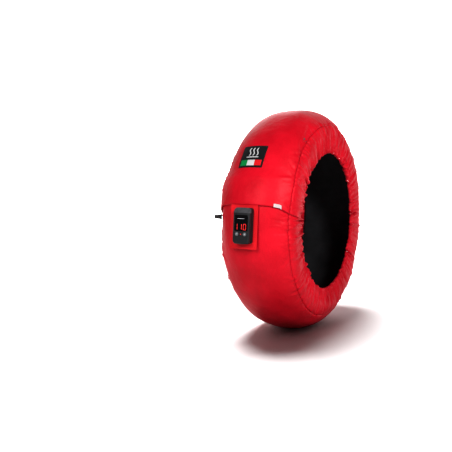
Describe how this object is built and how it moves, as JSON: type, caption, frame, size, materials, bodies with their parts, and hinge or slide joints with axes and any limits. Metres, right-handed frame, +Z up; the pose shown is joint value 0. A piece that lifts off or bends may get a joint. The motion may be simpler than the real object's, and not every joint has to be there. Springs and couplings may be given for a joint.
{
  "type": "motorcycle tire warmer",
  "caption": "Padded fabric ring with a heating element that wraps round a motorcycle tire, with gathered sides, a hook-and-loop flap and a controller on a tab.",
  "frame": {"origin": "middle of the flat contact patch under the tread, on the floor", "axes": "X along the axle, -Y the front with the controller and the flap's edge, +Z up"},
  "size_m": [0.2351, 0.6972, 0.6604],
  "materials": {
    "red_nylon": "satin woven nylon",
    "red_tab": "coated stiff fabric over a plate",
    "black_nylon": "matte heat-resistant cloth",
    "felt": "needled felt",
    "element": "flat heating ribbon",
    "elastic": "covered elastic",
    "strip": "hook and loop",
    "housing": "fine texture",
    "window": "glossy smoked window",
    "keys": "satin",
    "lamp": "clear red",
    "board": "coated board",
    "component": "moulded",
    "steel": "plain",
    "rubber": "matte",
    "patch": "woven patch with a tricolour stripe",
    "tag": "white satin tape"
  },
  "bodies": {
    "warmer": {"cover_tread": "red_nylon", "cover_side_right": "red_nylon", "cover_side_left": "red_nylon", "hem_elastic_right": "elastic", "hem_elastic_left": "elastic", "heating_pad": "felt", "inner_lining": "black_nylon", "heating_element": "element", "lead_splice": "steel", "temperature_sensor": "steel", "loop_strip": "strip", "hook_strip": "strip", "sewn_patch": "patch", "care_tag": "tag", "tab_strap": "red_tab", "controller_tab": "red_tab", "housing_screw_1": "steel", "housing_screw_2": "steel", "housing_screw_3": "steel", "housing_screw_4": "steel", "housing_base": "housing", "housing_gasket": "rubber", "housing_cover": "housing", "display_window": "window", "circuit_board": "board", "display_module": "component", "key_switch_1": "component", "key_switch_2": "component", "status_lamp": "lamp", "relay": "component", "terminal_block": "board", "fuse": "steel", "lead_grommet": "rubber", "heater_lead": "rubber", "cord_gland": "rubber"},
    "minus_key": {"key_minus": "keys"},
    "plus_key": {"key_plus": "keys"}
  },
  "joints": [
    {"name": "minus_press", "type": "slide", "parent": "warmer", "child": "minus_key", "axis": [0, 0.9954, -0.0958], "range_m": [0, 0.0007], "stiffness_N_per_m": 500},
    {"name": "plus_press", "type": "slide", "parent": "warmer", "child": "plus_key", "axis": [0, 0.9954, -0.0958], "range_m": [0, 0.0007], "stiffness_N_per_m": 500}
  ]
}
